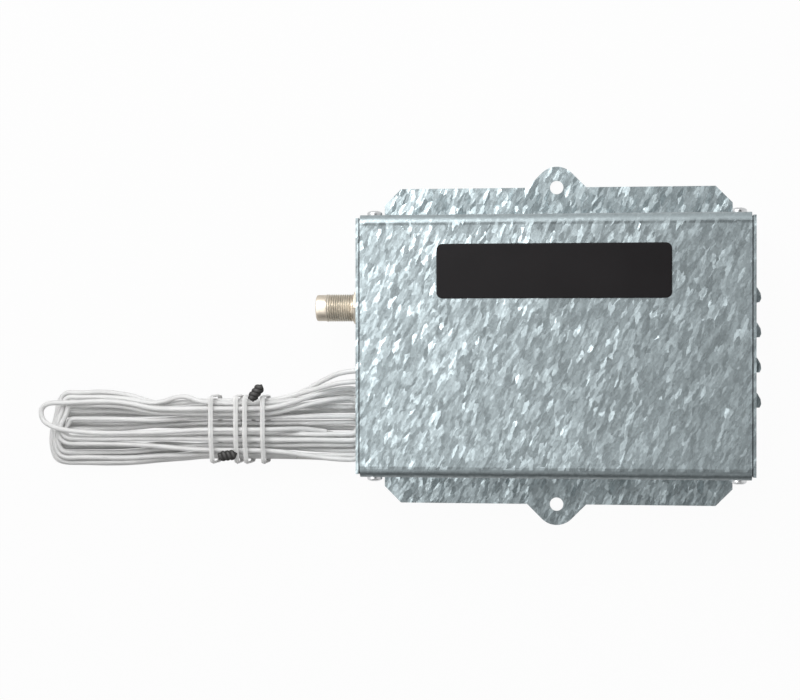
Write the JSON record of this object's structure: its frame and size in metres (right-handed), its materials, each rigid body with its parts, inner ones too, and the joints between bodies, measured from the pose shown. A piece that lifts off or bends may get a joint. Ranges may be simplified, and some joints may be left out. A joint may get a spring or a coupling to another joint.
{
  "type": "coaxial radio receiver",
  "caption": "Radio receiver in a flat galvanised steel case with mounting flanges, a threaded coaxial jack on its side and a tied hank of white leads.",
  "frame": {"origin": "centre of the underside of the tray's back plate, midway between the two mounting holes", "axes": "+Z out of the front of the cover, +X to the right with the jack on the left, +Y up towards the name plate's side"},
  "size_m": [0.2546, 0.1256, 0.0321],
  "materials": {
    "galvanised_steel": "hot-dip galvanised sheet with a fine spangle",
    "zinc_screws": "bright zinc plate",
    "black_plate": "smooth black plastic",
    "nickel": "nickel plate",
    "white_ptfe": "turned plastic",
    "brass_contact": "plain",
    "black_nylon": "moulded",
    "board_green": "solder mask on glass laminate",
    "black_moulding": "moulded component bodies",
    "relay_blue": "moulded relay case",
    "can_sleeve": "shrink sleeve",
    "tinned_steel": "bright tin plate",
    "red_button": "moulded",
    "red_lamp": "clear tinted epoxy",
    "white_insulation": "PVC insulation",
    "tinned_copper": "bared tinned strands",
    "white_tie": "plastic-covered tie"
  },
  "bodies": {
    "receiver": {"base_tray": "galvanised_steel", "cover": "galvanised_steel", "cover_screws": "zinc_screws", "name_plate": "black_plate", "jack_shell": "nickel", "jack_insulator": "white_ptfe", "jack_contact": "brass_contact", "jack_nut": "nickel", "jack_washer": "nickel", "wire_grommet": "black_nylon", "circuit_board": "board_green", "board_standoffs": "tinned_steel", "board_screws": "zinc_screws", "relay": "relay_blue", "filter_capacitors": "can_sleeve", "rectifier_diodes": "black_moulding", "chip_resistors": "black_moulding", "voltage_regulator": "black_moulding", "microcontroller": "black_moulding", "shield_can": "tinned_steel", "crystal_can": "tinned_steel", "mode_header": "black_moulding", "mode_shunt": "black_moulding", "learn_switch": "black_moulding", "status_lamp": "red_lamp", "lead_one": "white_insulation", "lead_two": "white_insulation", "lead_one_hank": "white_insulation", "lead_two_hank": "white_insulation", "lead_one_bared_end": "tinned_copper", "lead_two_bared_end": "tinned_copper", "lead_tails": "white_insulation", "tie_far": "white_tie", "tie_near": "white_tie"},
    "learn_button": {"learn_button": "red_button"}
  },
  "joints": [
    {"name": "learn_button_press", "type": "slide", "parent": "receiver", "child": "learn_button", "axis": [-1, 0, 0], "range_m": [0, 0.0003], "stiffness_N_per_m": 4000, "springref_m": -0.0001}
  ]
}
